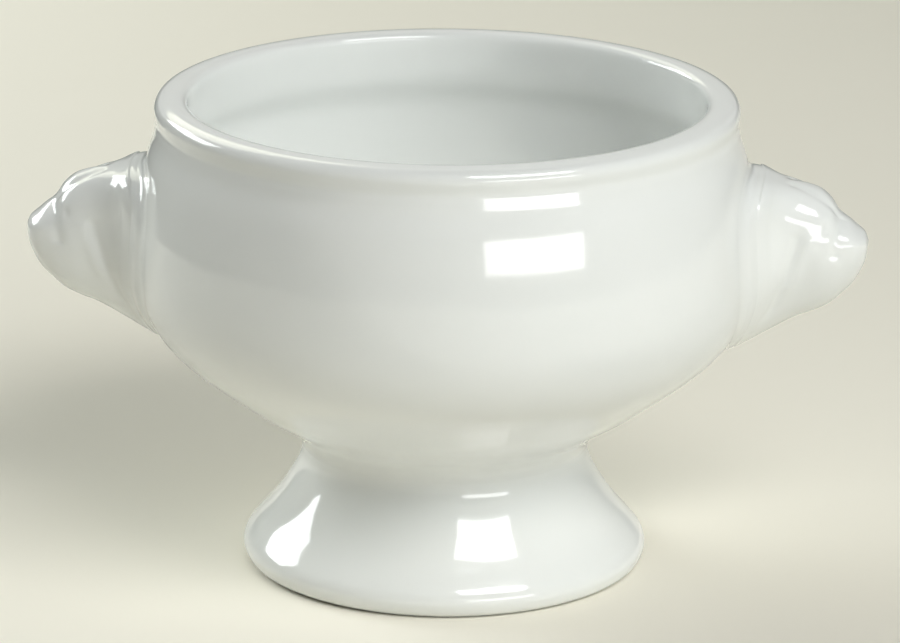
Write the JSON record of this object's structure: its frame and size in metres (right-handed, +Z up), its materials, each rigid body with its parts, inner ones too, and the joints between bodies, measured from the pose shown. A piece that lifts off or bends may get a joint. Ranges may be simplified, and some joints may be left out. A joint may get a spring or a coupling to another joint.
{
  "type": "french onion soup crock",
  "caption": "Footed white porcelain soup crock: a round bowl with a rolled rim on a flared hollow foot, with a lion's head handle on each side.",
  "frame": {"origin": "on the bowl's axis at the table, the middle of the standing ring", "axes": "+Z up along the bowl's axis, +X out through the right lion's nose, +Y towards the back"},
  "size_m": [0.1646, 0.1216, 0.094],
  "materials": {
    "glaze": "gloss white porcelain glaze",
    "biscuit": "matte unglazed porcelain"
  },
  "bodies": {
    "root": {"bowl": "glaze", "foot": "glaze", "foot_luting_slip": "biscuit", "left_lion_head": "glaze", "left_head_luting_slip": "glaze", "right_lion_head": "glaze", "right_head_luting_slip": "glaze"}
  },
  "joints": []
}
